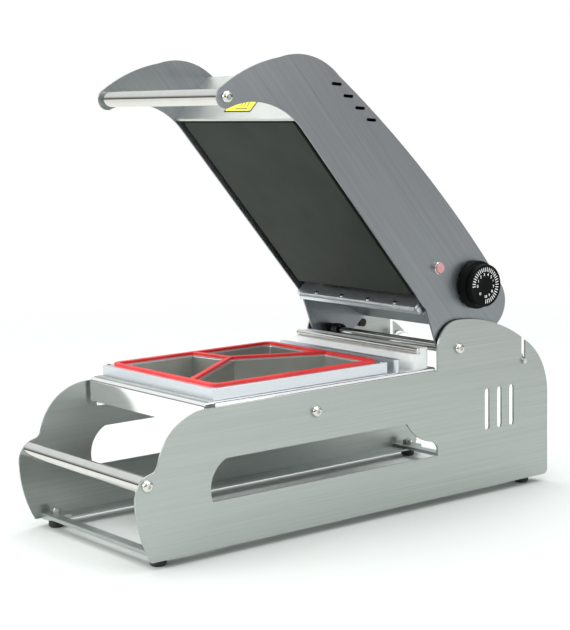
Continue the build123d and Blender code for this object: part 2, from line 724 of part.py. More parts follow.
def head_outline():
    """Return the outline of a head side plate in the head's own side view."""
    nose_meet = on_circle(nose, nose_radius, 23.5)
    top_meet = on_circle(nose, nose_radius, 85.0)
    lobe_front = on_circle(handle, handle_lobe, 8.0)
    lobe_back = on_circle(handle, handle_lobe, 215.0)
    inner = (handle[0] - nose_inner_back, -head_edge - nose_inner_radius)
    inner_start = on_circle(inner, nose_inner_radius, 90.0)
    inner_end = on_circle(inner, nose_inner_radius, 17.5)
    top_rear = (tail[0], tail[1] + tail_corner)
    front_middle = on_circle(nose_front, nose_front_radius, 17.0)
    tail_low = on_circle((0, 0), tail_radius, -72.0)
    with BuildLine() as outline:
        ThreePointArc(lobe_back, on_circle(handle, handle_lobe, 290.0), lobe_front)
        ThreePointArc(lobe_front, front_middle, nose_meet)
        ThreePointArc(nose_meet, on_circle(nose, nose_radius, 54.0), top_meet)
        RadiusArc(top_meet, top_rear, -head_top_radius)
        ThreePointArc(top_rear, on_circle(tail, tail_corner, 135.0), (tail_back, tail[1]))
        Line((tail_back, tail[1]), (-tail_radius, 0))
        ThreePointArc((-tail_radius, 0), on_circle((0, 0), tail_radius, 234.0), tail_low)
        Line(tail_low, (62.0, -head_edge))
        Line((62.0, -head_edge), inner_start)
        ThreePointArc(inner_start, on_circle(inner, nose_inner_radius, 50.0), inner_end)
        Line(inner_end, lobe_back)
    return outline.line


for side, sign in (("right", 1), ("left", -1)):
    x = head_half if sign < 0 else -head_inner
    with BuildPart() as head_side_plate:
        with BuildSketch(head_side.offset(x)):
            make_face(head_outline())
            with Locations((0, 0)):
                Circle(pin_radius + bush_wall, mode=Mode.SUBTRACT)
            with Locations(handle):
                Circle(screw_radius + screw_clearance, mode=Mode.SUBTRACT)
            with Locations(*head_vents):
                SlotOverall(13.0, 3.2, rotation=-45.0, mode=Mode.SUBTRACT)
            if sign > 0:
                with Locations((knob_reach, knob_rise)):
                    Circle(stem_radius + 2.0, mode=Mode.SUBTRACT)
                with Locations((lamp_reach, lamp_rise)):
                    Circle(lamp_radius, mode=Mode.SUBTRACT)
        extrude(amount=-head_plate)
    save(head_side_plate, "head_side_plate_" + side)

cover_front = (nose[0] + 15.0, nose[1] + nose_radius - 5.0)
cover_inset = 2.7           # cover's middle surface inside the side plates' edge
cover_round = tail_corner - cover_inset
cover_back = tail_back + cover_inset
panel_level = 17.0          # rear panel over the hinge pin's level, at the knife bar
cover_end = 47.0            # and at its rear end, where the cover comes down to it
gland_rise = 58.0
gland_radius = 7.0
gland_x = 60.0
gland_back = pivot + upward * gland_rise + forward * (cover_back - head_sheet / 2)
gland_plane = Plane(origin=gland_back, x_dir=(1, 0, 0), z_dir=forward * -1)
with BuildPart() as head_top_cover:
    with BuildSketch(head_side):
        with BuildLine() as cover_path:
            RadiusArc(cover_front, on_circle(tail, cover_round, 90.0), -head_top_radius)
            ThreePointArc(on_circle(tail, cover_round, 90.0), on_circle(tail, cover_round, 135.0),
                          (cover_back, tail[1]))
            Line((cover_back, tail[1]), (cover_back, cover_end))
        trace(cover_path.line, head_sheet)
    extrude(amount=head_inner, both=True)
    with BuildSketch(gland_plane):
        with Locations((gland_x, 0)):
            Circle(gland_radius + screw_clearance)
    extrude(amount=2 * head_sheet, both=True, mode=Mode.SUBTRACT)
save(head_top_cover, "head_top_cover")

panel_low = (hot_front + 4.5, hot_face + head_sheet / 2)
panel_high = (cover_front[0] + 1.2, cover_front[1] - 1.3)
with BuildPart() as head_front_panel:
    with BuildSketch(head_side):
        with BuildLine() as panel_path:
            Polyline((panel_low[0] - 2.5, panel_low[1]), panel_low, panel_high)
        trace(panel_path.line, head_sheet)
    extrude(amount=head_inner, both=True)
save(head_front_panel, "head_front_panel")

sheet_reach = knife_lead - knife_width / 2 - head_sheet / 2
with BuildPart() as head_rear_panel:
    with BuildSketch(head_side):
        with BuildLine() as rear_path:
            Polyline((sheet_reach, 1.0 - knife_height), (sheet_reach, panel_level - head_sheet / 2),
                     (cover_back - head_sheet / 2, cover_end - head_sheet))
        trace(rear_path.line, head_sheet)
    extrude(amount=head_inner, both=True)
save(head_rear_panel, "head_rear_panel")

# ---------------------------------------------------------------- hot plate and what drives it
with BuildPart() as hot_plate:
    with BuildSketch(head_level(hot_face)):
        with Locations((0, -hot_middle)):
            RectangleRounded(hot_width, hot_length, 4.0)
    extrude(amount=hot_thickness)
    chamfer(faces().sort_by(Axis(origin=(0, 0, 0), direction=tuple(upward)))[0].edges(), 0.8)
save(hot_plate, "hot_plate")

element_radius = 3.2
element_half = hot_width / 2 - 30.0
element_inner = 12.0
element_front = -hot_front + 35.0
element_rear = -hot_rear - 30.0
element_turn = element_rear - 60.0
with BuildPart() as heating_element:
    with BuildLine(head_level(hot_back + element_radius)) as element_path:
        FilletPolyline((-element_half, element_rear), (-element_half, element_front),
                       (-element_inner, element_front), (-element_inner, element_turn),
                       (element_inner, element_turn), (element_inner, element_front),
                       (element_half, element_front), (element_half, element_rear), radius=11.5)
    with BuildSketch(Plane(origin=element_path.line @ 0, z_dir=element_path.line % 0)):
        Circle(element_radius)
    sweep(path=element_path.line)
save(heating_element, "heating_element")

stud_x = hot_width / 2 - stud_inset[0]
stud_y = hot_length / 2 - stud_inset[1]
stud_seats = [(sx * stud_x, -hot_middle + sy * stud_y) for sx in (-1, 1) for sy in (-1, 1)]
with BuildPart() as insulation_board:
    with BuildSketch(head_level(board_low)):
        with Locations((0, -hot_middle)):
            Rectangle(2 * head_inner, hot_length - 10.0)
        with Locations(*stud_seats):
            Circle(screw_radius + screw_clearance, mode=Mode.SUBTRACT)
    extrude(amount=board_thickness)
save(insulation_board, "insulation_board")

with BuildPart() as hot_plate_studs:
    with BuildSketch(head_level(hot_back)):
        with Locations(*stud_seats):
            Circle(5.0)
    extrude(amount=stud_height)
    with BuildSketch(head_level(board_low)):
        with Locations(*stud_seats):
            Circle(screw_radius)
    extrude(amount=board_thickness + 6.0)
save(hot_plate_studs, "hot_plate_studs")

with BuildPart() as stud_nuts:
    with BuildSketch(head_level(board_top)):
        with Locations(*stud_seats):
            RegularPolygon(5.5, 6)
            Circle(screw_radius + screw_clearance, mode=Mode.SUBTRACT)
    extrude(amount=4.5)
save(stud_nuts, "stud_nuts")

block_seat = (-40.0, -hot_middle)
with BuildPart() as terminal_block:
    with BuildSketch(head_level(board_top)):
        with Locations(block_seat):
            Rectangle(54.0, 20.0)
    extrude(amount=14.0)
    with BuildSketch(head_level(board_top + 8.0)):
        with Locations(block_seat):
            with GridLocations(9.0, 10.0, 6, 2):
                Circle(2.2)
    extrude(amount=6.0, mode=Mode.SUBTRACT)
save(terminal_block, "terminal_block")

body_radius = 15.0
body_depth = 26.0
with BuildPart() as thermostat_body:
    with BuildSketch(head_wall(head_inner)):
        with Locations((-knob_reach, knob_rise)):
            Circle(body_radius)
    extrude(amount=-body_depth)
    with BuildSketch(head_wall(head_inner)):
        with Locations((-knob_reach, knob_rise)):
            Circle(stem_radius + 1.8)
    extrude(amount=head_plate)
    with BuildSketch(head_wall(head_half)):
        with Locations((-knob_reach, knob_rise)):
            Circle(stem_radius)
    extrude(amount=stem_length)
save(thermostat_body, "thermostat_body")

knob_gap = 0.6
with BuildPart() as thermostat_knob:
    with BuildSketch(head_wall(head_half + knob_gap)):
        with Locations((-knob_reach, knob_rise)):
            Circle(knob_skirt_radius)
    extrude(amount=knob_skirt_depth)
    with BuildSketch(head_wall(head_half + knob_gap + knob_skirt_depth)):
        with Locations((-knob_reach, knob_rise)):
            Circle(knob_radius)
    extrude(amount=knob_depth - knob_skirt_depth)
    fillet(faces().sort_by(Axis.X)[-1].edges(), 2.0)
    with BuildSketch(head_wall(head_half + knob_gap)):
        with Locations((-knob_reach, knob_rise)):
            Circle(stem_radius + running_gap)
    extrude(amount=stem_length + 1.0, mode=Mode.SUBTRACT)
save(thermostat_knob, "thermostat_knob")

bulb_radius = 2.5
with BuildPart() as sensor_bulb:
    with BuildSketch(head_level(hot_back + bulb_radius)):
        with Locations(((element_inner + element_half) / 2, -hot_rear - 60.0)):
            SlotOverall(90.0, 2 * bulb_radius, rotation=90)
    extrude(amount=bulb_radius, both=True)
save(sensor_bulb, "sensor_bulb")

with BuildPart() as lamp_bezel:
    with BuildSketch(head_wall(head_half)):
        with Locations((-lamp_reach, lamp_rise)):
            Circle(lamp_radius + lamp_rim)
            Circle(lamp_radius - lamp_rim, mode=Mode.SUBTRACT)
    extrude(amount=lamp_depth - 2.0)
    chamfer(faces().sort_by(Axis.X)[-1].edges(), 0.5)
    with BuildSketch(head_wall(head_half)):
        with Locations((-lamp_reach, lamp_rise)):
            Circle(lamp_radius - screw_clearance)
            Circle(lamp_radius - lamp_rim, mode=Mode.SUBTRACT)
    extrude(amount=-head_plate)
save(lamp_bezel, "lamp_bezel")

with BuildPart() as lamp_lens:
    with BuildSketch(head_wall(head_half + lamp_depth)):
        with Locations((-lamp_reach, lamp_rise)):
            Circle(lamp_radius - lamp_rim)
    extrude(amount=-22.0)
    fillet(faces().sort_by(Axis.X)[-1].edges(), 0.8)
save(lamp_lens, "lamp_lens")

with BuildPart() as cable_gland:
    with BuildSketch(gland_plane):
        with Locations((gland_x, 0)):
            RegularPolygon(gland_radius + 3.5, 6)
    extrude(amount=6.0)
    with BuildSketch(gland_plane.offset(6.0)):
        with Locations((gland_x, 0)):
            Circle(gland_radius + 1.0)
    extrude(amount=8.0, taper=8.0)
    with BuildSketch(gland_plane):
        with Locations((gland_x, 0)):
            Circle(gland_radius)
    extrude(amount=-10.0)
    with BuildSketch(gland_plane.offset(-10.0)):
        with Locations((gland_x, 0)):
            Circle(3.2)
    extrude(amount=30.0, mode=Mode.SUBTRACT)
save(cable_gland, "cable_gland")

# ---------------------------------------------------------------- head handle, bushes and knife
with BuildPart() as head_handle_tube:
    add(handle_tube(handle, head_inner, head_side))
save(head_handle_tube, "head_handle_tube")

handle_at = head_side.from_local_coords(Vector(*handle, 0))
with BuildPart() as head_handle_screws:
    add(screw_pair(head_half, handle_at.Y, handle_at.Z, head_plate + plug_length - 2.0))
save(head_handle_screws, "head_handle_screws")

bush_flange = head_gap - 0.3
bush_inside = 2.0
bush_length = bush_inside + head_plate + bush_flange
with BuildPart() as hinge_bushes:
    for sign in (-1, 1):
        with BuildSketch(side_wall(sign * (head_inner - bush_inside))):
            with Locations((pivot_y, pivot_z)):
                Circle(pin_radius + bush_wall)
        extrude(amount=sign * bush_length)
        with BuildSketch(side_wall(sign * head_half)):
            with Locations((pivot_y, pivot_z)):
                Circle(pin_radius + bush_wall + 4.0)
        extrude(amount=sign * bush_flange)
        with BuildSketch(side_wall(sign * (head_inner - bush_inside))):
            with Locations((pivot_y, pivot_z)):
                Circle(pin_radius + running_gap)
        extrude(amount=sign * bush_length, mode=Mode.SUBTRACT)
save(hinge_bushes, "hinge_bushes")

bar_half = head_inner - 3.5
knife_front = knife_lead + knife_width / 2
blade_sheet = 1.0
blade_slot = 3.0            # blade behind the bar's front face
blade_seat = 6.0            # blade sunk into the bar
with BuildPart() as knife_bar:
    with BuildSketch(head_side):
        with Locations((knife_lead, (knife_top - knife_height) / 2)):
            Rectangle(knife_width, knife_top + knife_height)
        with Locations((knife_front - blade_slot, blade_seat / 2 - knife_height)):
            Rectangle(blade_sheet, blade_seat, mode=Mode.SUBTRACT)
    extrude(amount=bar_half, both=True)
save(knife_bar, "knife_bar")

blade_pitch = 4.0
blade_drop = 2.5
blade_half = blade_pitch * int((bar_half - 4.0) / blade_pitch)
with BuildPart() as knife_blade:
    blade_back = pivot + forward * (knife_front - blade_slot - blade_sheet / 2)
    blade_plane = Plane(origin=blade_back, x_dir=(1, 0, 0), z_dir=forward)
    with BuildSketch(blade_plane):
        with BuildLine():
            edge_low = knife_height + blade_drop
            edge = [(-blade_half, knife_height - blade_seat), (-blade_half, edge_low - 1.6)]
            for tooth in range(int(2 * blade_half / blade_pitch)):
                left = -blade_half + tooth * blade_pitch
                edge.append((left + blade_pitch / 2, edge_low))
                edge.append((left + blade_pitch, edge_low - 1.6))
            edge.append((blade_half, knife_height - blade_seat))
            Polyline(*[(x, -z) for x, z in edge], close=True)
        make_face()
    extrude(amount=blade_sheet)
save(knife_blade, "knife_blade")

knife_screw_seats = [-66.0, -22.0, 22.0, 66.0]
with BuildPart() as knife_screws:
    seat_middle = pivot + forward * knife_front - upward * (knife_height - blade_seat / 2)
    face = Plane(origin=seat_middle, x_dir=(1, 0, 0), z_dir=forward)
    with BuildSketch(face):
        with Locations(*[(x, 0) for x in knife_screw_seats]):
            Circle(2.4)
    extrude(amount=1.2)
    fillet(faces().sort_by(Axis(origin=(0, 0, 0), direction=tuple(forward)))[-4:].edges(), 0.6)
save(knife_screws, "knife_screws")

label_x = -2.5
label_rise = 19.0           # label's middle over the front panel's lower edge
label_width = 46.0
label_height = 20.0
label_corner = 1.5
label_thickness = 0.3
with BuildPart() as warning_label:
    panel_start = head_side.from_local_coords(Vector(*panel_low, 0))
    panel_end = head_side.from_local_coords(Vector(*panel_high, 0))
    rise = (panel_end - panel_start).normalized()
    outwards = Vector(1, 0, 0).cross(rise)
    seat = panel_start + rise * label_rise + outwards * (head_sheet / 2)
    with BuildSketch(Plane(origin=seat, x_dir=(1, 0, 0), z_dir=outwards)):
        with Locations((label_x, 0)):
            RectangleRounded(label_width, label_height, label_corner)
    extrude(amount=label_thickness)
save(warning_label, "warning_label")
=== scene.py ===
# %% [markdown]
# # A manual tray sealer
#
# This lesson dresses a hand-operated tray sealer. The machine's shape comes from a finished
# mechanical model: two long brushed-steel side plates, a deck with a lift-out sealing die, and a
# heated head that swings on a hinge pin. Here we add what only a renderer needs: light, a camera,
# the finish of every metal, and the small printed and moulded pieces.
#
# The first cell loads the mechanical model and notes its box, so we can check at the end that
# nothing we made has grown past it.

# %% Load the machine
import json
from math import cos, pi, radians, sin

import bpy
import numpy as np
from mathutils import Matrix, Vector


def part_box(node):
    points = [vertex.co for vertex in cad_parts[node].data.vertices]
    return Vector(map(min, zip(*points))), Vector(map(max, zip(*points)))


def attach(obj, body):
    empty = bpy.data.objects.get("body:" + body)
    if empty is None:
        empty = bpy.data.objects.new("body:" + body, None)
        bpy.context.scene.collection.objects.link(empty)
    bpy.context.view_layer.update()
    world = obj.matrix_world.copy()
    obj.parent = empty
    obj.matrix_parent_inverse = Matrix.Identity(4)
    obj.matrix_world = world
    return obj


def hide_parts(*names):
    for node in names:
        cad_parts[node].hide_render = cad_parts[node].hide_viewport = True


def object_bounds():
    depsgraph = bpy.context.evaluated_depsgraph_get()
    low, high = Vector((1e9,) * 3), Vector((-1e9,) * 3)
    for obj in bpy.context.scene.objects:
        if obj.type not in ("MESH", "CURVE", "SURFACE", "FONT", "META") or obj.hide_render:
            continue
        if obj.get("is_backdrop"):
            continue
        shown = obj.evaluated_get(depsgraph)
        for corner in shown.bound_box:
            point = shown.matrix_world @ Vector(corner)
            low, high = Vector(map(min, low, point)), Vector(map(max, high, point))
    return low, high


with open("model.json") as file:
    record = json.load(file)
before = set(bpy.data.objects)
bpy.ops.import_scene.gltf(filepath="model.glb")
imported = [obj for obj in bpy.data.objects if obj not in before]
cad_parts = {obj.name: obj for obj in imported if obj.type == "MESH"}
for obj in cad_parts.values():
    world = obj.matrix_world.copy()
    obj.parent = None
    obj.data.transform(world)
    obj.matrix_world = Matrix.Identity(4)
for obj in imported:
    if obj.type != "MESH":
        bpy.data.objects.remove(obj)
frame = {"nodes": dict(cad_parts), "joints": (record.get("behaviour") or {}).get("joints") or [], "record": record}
cad_low, cad_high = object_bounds()
nodes = frame["nodes"]
joints = {joint["name"]: joint for joint in frame["joints"]}
print("machine loaded:", len(nodes), "nodes, size in m:", [round(v, 3) for v in cad_high - cad_low])

# %% [markdown]
# The head stands open, turned 50 degrees back from the deck. Its sheets were brushed along the
# head, so we need that direction: `forward` runs from the hinge pin to the head's handle. We read
# the angle and the hinge pin's place from the hinge joint.

# %% The head's direction
open_angle = radians(joints["head_hinge"]["range_deg"][1])
hinge = Vector(joints["head_hinge"]["pos_m"])
forward = Vector((0.0, -cos(open_angle), sin(open_angle)))
print("hinge pin at", [round(v, 4) for v in hinge])

# %% [markdown]
# ## Camera
#
# A product picture like this is taken from a little over a metre away with a long lens, which
# keeps the plates' edges nearly parallel. The camera stands to the right of the operator and
# slightly above the machine. We build its turn from three axes: the one that points back at the
# camera, the one to its right, and the one above it, and then tip it a degree about its own line
# of sight, because a hand-held camera is never quite level.

# %% Camera
camera_place = Vector((1.3469, -1.0753, 0.4374))
azimuth = radians(51.90)
elevation = radians(7.64)
tip = radians(-1.14)

back = Vector((sin(azimuth) * cos(elevation), -cos(azimuth) * cos(elevation), sin(elevation)))
right = Vector((0, 0, 1)).cross(back).normalized()
above = back.cross(right)
turn = Matrix((right, above, back)).transposed()

camera_data = bpy.data.cameras.new("camera")
camera_data.lens = 92.5
camera_data.sensor_width = 36.0
camera = bpy.data.objects.new("camera", camera_data)
camera.matrix_world = Matrix.Translation(camera_place) @ (turn @ Matrix.Rotation(tip, 3, "Z")).to_4x4()
bpy.context.scene.collection.objects.link(camera)
bpy.context.scene.camera = camera
print("camera", round((camera_place - hinge).length, 3), "m from the hinge pin")

# %% [markdown]
# ## Floor and light
#
# Polished steel has no colour of its own to speak of: it shows the room. So the room matters more
# here than any material. We give it a pale floor, a bright ceiling, and a warm dim band near the
# horizon that draws the brown line along each chrome tube. The camera itself sees plain white, and
# the floor fades into a white glow away from the machine, so that no horizon shows behind it.

# %% Floor
floor_mesh = bpy.data.meshes.new("floor")
reach = 9.0
floor_corners = [(-reach, -reach, 0), (reach, -reach, 0), (reach, reach, 0), (-reach, reach, 0)]
floor_mesh.from_pydata(floor_corners, [], [(0, 1, 2, 3)])
floor = bpy.data.objects.new("floor", floor_mesh)
bpy.context.scene.collection.objects.link(floor)
floor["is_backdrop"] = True

floor_paint = bpy.data.materials.new("floor_paint")
floor_paint.use_nodes = True
tree = floor_paint.node_tree
paint = tree.nodes["Principled BSDF"]
paint.inputs["Base Color"].default_value = (0.60, 0.622, 0.606, 1)
paint.inputs["Roughness"].default_value = 0.75
paint.inputs["Specular IOR Level"].default_value = 0.2
glow = tree.nodes.new("ShaderNodeEmission")
glow.inputs["Color"].default_value = (1, 1, 1, 1)
place = tree.nodes.new("ShaderNodeTexCoord")
far = tree.nodes.new("ShaderNodeVectorMath")
far.operation = "LENGTH"
fade = tree.nodes.new("ShaderNodeMapRange")
fade.interpolation_type = "SMOOTHSTEP"
fade_start, fade_end = 0.55, 1.90
fade.inputs["From Min"].default_value = fade_start
fade.inputs["From Max"].default_value = fade_end
blend = tree.nodes.new("ShaderNodeMixShader")
tree.links.new(place.outputs["Object"], far.inputs[0])
tree.links.new(far.outputs["Value"], fade.inputs["Value"])
tree.links.new(fade.outputs["Result"], blend.inputs["Fac"])
tree.links.new(paint.outputs[0], blend.inputs[1])
tree.links.new(glow.outputs[0], blend.inputs[2])
tree.links.new(blend.outputs[0], tree.nodes["Material Output"].inputs["Surface"])
floor_mesh.materials.append(floor_paint)
print("floor laid,", 2 * reach, "m wide")


# %% Room
def make_room():
    """Set the world: white to the camera, and to everything else a ramp of colour over height.

    The height of a direction is the sine of its angle over the horizon. The ramp goes from the
    pale ground through a dim warm band at the horizon to a bright cool ceiling.
    """
    world = bpy.data.worlds.new("room")
    world.use_nodes = True
    tree = world.node_tree
    tree.nodes.clear()
    output = tree.nodes.new("ShaderNodeOutputWorld")
    direction = tree.nodes.new("ShaderNodeTexCoord")
    split = tree.nodes.new("ShaderNodeSeparateXYZ")
    height = tree.nodes.new("ShaderNodeMapRange")
    height.inputs["From Min"].default_value = -1.0
    ramp = tree.nodes.new("ShaderNodeValToRGB")
    stops = [(0.0, (0.72, 0.74, 0.72)), (0.485, (0.62, 0.62, 0.60)), (0.505, (0.06, 0.045, 0.03)),
             (0.545, (0.14, 0.115, 0.09)), (0.61, (0.40, 0.42, 0.44)), (0.68, (0.86, 0.90, 0.93)),
             (1.0, (1.0, 1.0, 1.0))]
    while len(ramp.color_ramp.elements) < len(stops):
        ramp.color_ramp.elements.new(0.5)
    for element, (place, colour) in zip(ramp.color_ramp.elements, stops):
        element.position = place
        element.color = (*colour, 1)
    seen = tree.nodes.new("ShaderNodeBackground")
    lit = tree.nodes.new("ShaderNodeBackground")
    lit.inputs["Strength"].default_value = 1.0
    seen.inputs["Color"].default_value = (1, 1, 1, 1)
    seen.inputs["Strength"].default_value = 1.0
    path = tree.nodes.new("ShaderNodeLightPath")
    choose = tree.nodes.new("ShaderNodeMixShader")
    tree.links.new(direction.outputs["Generated"], split.inputs[0])
    tree.links.new(split.outputs["Z"], height.inputs["Value"])
    tree.links.new(height.outputs["Result"], ramp.inputs["Fac"])
    tree.links.new(ramp.outputs["Color"], lit.inputs["Color"])
    tree.links.new(path.outputs["Is Camera Ray"], choose.inputs["Fac"])
    tree.links.new(lit.outputs[0], choose.inputs[1])
    tree.links.new(seen.outputs[0], choose.inputs[2])
    tree.links.new(choose.outputs[0], output.inputs["Surface"])
    bpy.context.scene.world = world
    return len(stops)


print("room ramp has", make_room(), "stops")
bpy.context.scene.view_settings.view_transform = "Standard"

# %% [markdown]
# Three large area lights do the rest. One hangs overhead and makes the soft shadow under the
# machine, one stands in front of the operator's side to whiten the apron, and one fills the right
# side. Large lights give wide, soft highlights, which is what brushed steel needs.


# %% Lights
def softbox(name, place, target, width, height, watts):
    """Hang a rectangular light at a place, turned so that its face looks at the target."""
    data = bpy.data.lights.new(name, "AREA")
    data.shape = "RECTANGLE"
    data.size = width
    data.size_y = height
    data.energy = watts
    light = bpy.data.objects.new(name, data)
    light.location = place
    light.rotation_euler = (Vector(target) - Vector(place)).to_track_quat("-Z", "Y").to_euler()
    bpy.context.scene.collection.objects.link(light)
    return light


middle = (cad_low + cad_high) / 2
lights = [
    softbox("ceiling_light", (-0.2, 0.1, 2.4), middle, 2.6, 2.6, 62),
    softbox("front_light", (-0.7, -2.3, 1.1), middle, 1.8, 1.2, 34),
    softbox("side_light", (2.6, 0.9, 1.3), middle, 1.6, 1.6, 16),
]
print("lights:", [light.name for light in lights])

# %% [markdown]
# ## Finishes
#
# Each finish is a small network of nodes. They all begin the same way: a principled shader, and
# the piece's own coordinates in metres, so that a scratch is as long on a small piece as on a
# large one. `start_finish` makes that beginning, and `add` keeps the rest readable.


# %% Node helpers
def start_finish(name, metallic, roughness):
    """Make a material with a principled shader and return the material, its tree and the shader."""
    finish = bpy.data.materials.new(name)
    finish.use_nodes = True
    tree = finish.node_tree
    shader = tree.nodes["Principled BSDF"]
    shader.inputs["Metallic"].default_value = metallic
    shader.inputs["Roughness"].default_value = roughness
    return finish, tree, shader


def add(tree, kind, **values):
    """Add a node and set its named inputs."""
    node = tree.nodes.new("ShaderNode" + kind)
    for name, value in values.items():
        node.inputs[name.replace("_", " ")].default_value = value
    return node


def ramp_between(tree, source, low, high, start=0.3, end=0.7):
    """Turn a 0 to 1 pattern into a colour between two, and return the colour socket."""
    ramp = tree.nodes.new("ShaderNodeValToRGB")
    ramp.color_ramp.elements[0].position = start
    ramp.color_ramp.elements[0].color = (*low, 1)
    ramp.color_ramp.elements[1].position = end
    ramp.color_ramp.elements[1].color = (*high, 1)
    tree.links.new(source, ramp.inputs["Fac"])
    return ramp.outputs["Color"]


def range_between(tree, source, low, high):
    """Turn a 0 to 1 pattern into a number between two, and return the number's socket."""
    numbers = add(tree, "MapRange", To_Min=low, To_Max=high)
    tree.links.new(source, numbers.inputs["Value"])
    return numbers.outputs["Result"]


def bump_from(tree, source, shader, depth):
    """Press a pattern into the surface, as deep as depth in metres."""
    bump = add(tree, "Bump", Distance=depth, Strength=1.0)
    tree.links.new(source, bump.inputs["Height"])
    tree.links.new(bump.outputs["Normal"], shader.inputs["Normal"])


def noise_on(tree, stretch, turned=(0, 0, 0), detail=3.0):
    """Return a noise pattern in the piece's own coordinates.

    stretch says how many waves a metre holds along each axis, and turned tilts those axes.
    """
    place = tree.nodes.new("ShaderNodeTexCoord")
    axes = tree.nodes.new("ShaderNodeMapping")
    axes.vector_type = "TEXTURE"
    axes.inputs["Rotation"].default_value = turned
    axes.inputs["Scale"].default_value = [1.0 / waves for waves in stretch]
    noise = add(tree, "TexNoise", Scale=1.0, Detail=detail)
    tree.links.new(place.outputs["Object"], axes.inputs["Vector"])
    tree.links.new(axes.outputs["Vector"], noise.inputs["Vector"])
    return noise.outputs["Fac"]


print("node helpers ready")

# %% [markdown]
# ### Brushed steel
#
# Brushed sheet is rubbed one way with an abrasive belt, so its scratches are long along the grain
# and very fine across it. We stretch a noise pattern the same way: few waves along the grain,
# many across. It drives three things at once, the tone, the gloss and a shallow bump. The grain of
# the base plates runs along the machine, and that of the head runs along the head, so the grain's
# direction is a value of the finish. The highlight of brushed metal spreads across the grain, and
# the shader's anisotropy with a tangent across the grain does that. A tangent made from the grain
# alone would vanish on an end face that the grain meets squarely, so the grain is tilted a little.
# The head's front panel has its own sheet, with a darker, brown-pink tone in its colour that is a painted
# reflection of something dark in front of it.

# %% Brushed steel
along_base = (0.0, 0.0, pi / 2)
along_head = (0.0, -open_angle, -pi / 2)


def brushed_steel(name, grain, grain_axis, dark, light, gloss):
    """Make brushed sheet steel whose scratches run along a turned X axis."""
    finish, tree, shader = start_finish(name, 1.0, gloss)
    scratches = noise_on(tree, (9, 1500, 1500), grain, 4.0)
    streaks = noise_on(tree, (3.0, 420, 420), grain, 2.0)
    blend = add(tree, "Mix")
    blend.inputs["Factor"].default_value = 0.40
    tree.links.new(scratches, blend.inputs["A"])
    tree.links.new(streaks, blend.inputs["B"])
    pattern = blend.outputs["Result"]
    tree.links.new(ramp_between(tree, pattern, dark, light, 0.25, 0.75), shader.inputs["Base Color"])
    tree.links.new(range_between(tree, pattern, gloss - 0.05, gloss + 0.07), shader.inputs["Roughness"])
    bump_from(tree, scratches, shader, 0.000012)
    shader.inputs["Anisotropic"].default_value = 0.55
    surface = tree.nodes.new("ShaderNodeNewGeometry")
    across = tree.nodes.new("ShaderNodeVectorMath")
    across.operation = "CROSS_PRODUCT"
    across.inputs[1].default_value = grain_axis
    tree.links.new(surface.outputs["Normal"], across.inputs[0])
    tree.links.new(across.outputs["Vector"], shader.inputs["Tangent"])
    return finish


base_grain = (0.05, 1.0, 0.03)
head_grain = forward + Vector((0.05, 0.0, 0.03))
base_steel = brushed_steel("base_steel", along_base, base_grain, (0.395, 0.425, 0.41),
                           (0.52, 0.55, 0.53), 0.33)
head_steel = brushed_steel("head_steel", along_head, head_grain, (0.25, 0.268, 0.285),
                           (0.345, 0.365, 0.385), 0.36)
# The front panel's brown-pink tones are a painted reflection of something dark, not the steel's own colour.
panel_painted_reflection = brushed_steel("panel_painted_reflection", (0, 0, 0), (1.0, 0.05, 0.03), (0.27, 0.235, 0.235),
                            (0.43, 0.385, 0.38), 0.22)
print("brushed finishes:", base_steel.name, head_steel.name)

# %% [markdown]
# ### Bright metals
#
# Chrome and polished sheet are mirrors with faint handling marks, so only the gloss varies, in soft
# patches. The deck is polished finer and brighter than the plates, which makes its apron flash
# white. Plated screws are a little duller. The aluminium die is bead-blasted, with a fine even
# speckle and no grain at all.


# %% Bright metals
def bright_metal(name, colour, gloss, smudge, waves):
    """Make a smooth metal whose gloss varies in soft patches."""
    finish, tree, shader = start_finish(name, 1.0, gloss)
    patches = noise_on(tree, (waves, waves, waves), detail=2.0)
    tint = tuple(0.94 * part for part in colour)
    tree.links.new(ramp_between(tree, patches, tint, colour), shader.inputs["Base Color"])
    tree.links.new(range_between(tree, patches, gloss, gloss + smudge), shader.inputs["Roughness"])
    return finish


def blasted_aluminium(name, dark, light, gloss):
    """Make bead-blasted aluminium: an even fine speckle in tone, gloss and height."""
    finish, tree, shader = start_finish(name, 1.0, gloss)
    speckle = noise_on(tree, (2600, 2600, 2600), detail=2.0)
    tree.links.new(ramp_between(tree, speckle, dark, light), shader.inputs["Base Color"])
    tree.links.new(range_between(tree, speckle, gloss - 0.04, gloss + 0.08), shader.inputs["Roughness"])
    bump_from(tree, speckle, shader, 0.000015)
    return finish


chrome = bright_metal("chrome", (0.72, 0.715, 0.67), 0.045, 0.05, 60)
polished_sheet = bright_metal("polished_sheet", (0.58, 0.60, 0.565), 0.30, 0.12, 35)
deck_steel = bright_metal("deck_steel", (0.97, 0.97, 0.96), 0.09, 0.06, 12)
plated_steel = bright_metal("plated_steel", (0.60, 0.60, 0.58), 0.10, 0.10, 220)
black_steel = bright_metal("black_steel", (0.050, 0.050, 0.054), 0.36, 0.14, 260)
die_aluminium = blasted_aluminium("die_aluminium", (0.66, 0.70, 0.74), (0.79, 0.83, 0.87), 0.34)
bulb_copper = bright_metal("bulb_copper", (0.78, 0.45, 0.30), 0.26, 0.15, 180)
print("bright metals ready")

# %% [markdown]
# ### Coating, rubber and plastic
#
# The hot plate has a grey-green non-stick coating, thin enough that the metal's flatness shows but
# rough enough to blur every reflection. Silicone lets a little light in, which keeps the red ring
# from looking painted. Nylon does the same in white. Moulded plastic has a fine spark-eroded
# texture that takes the shine off its faces.


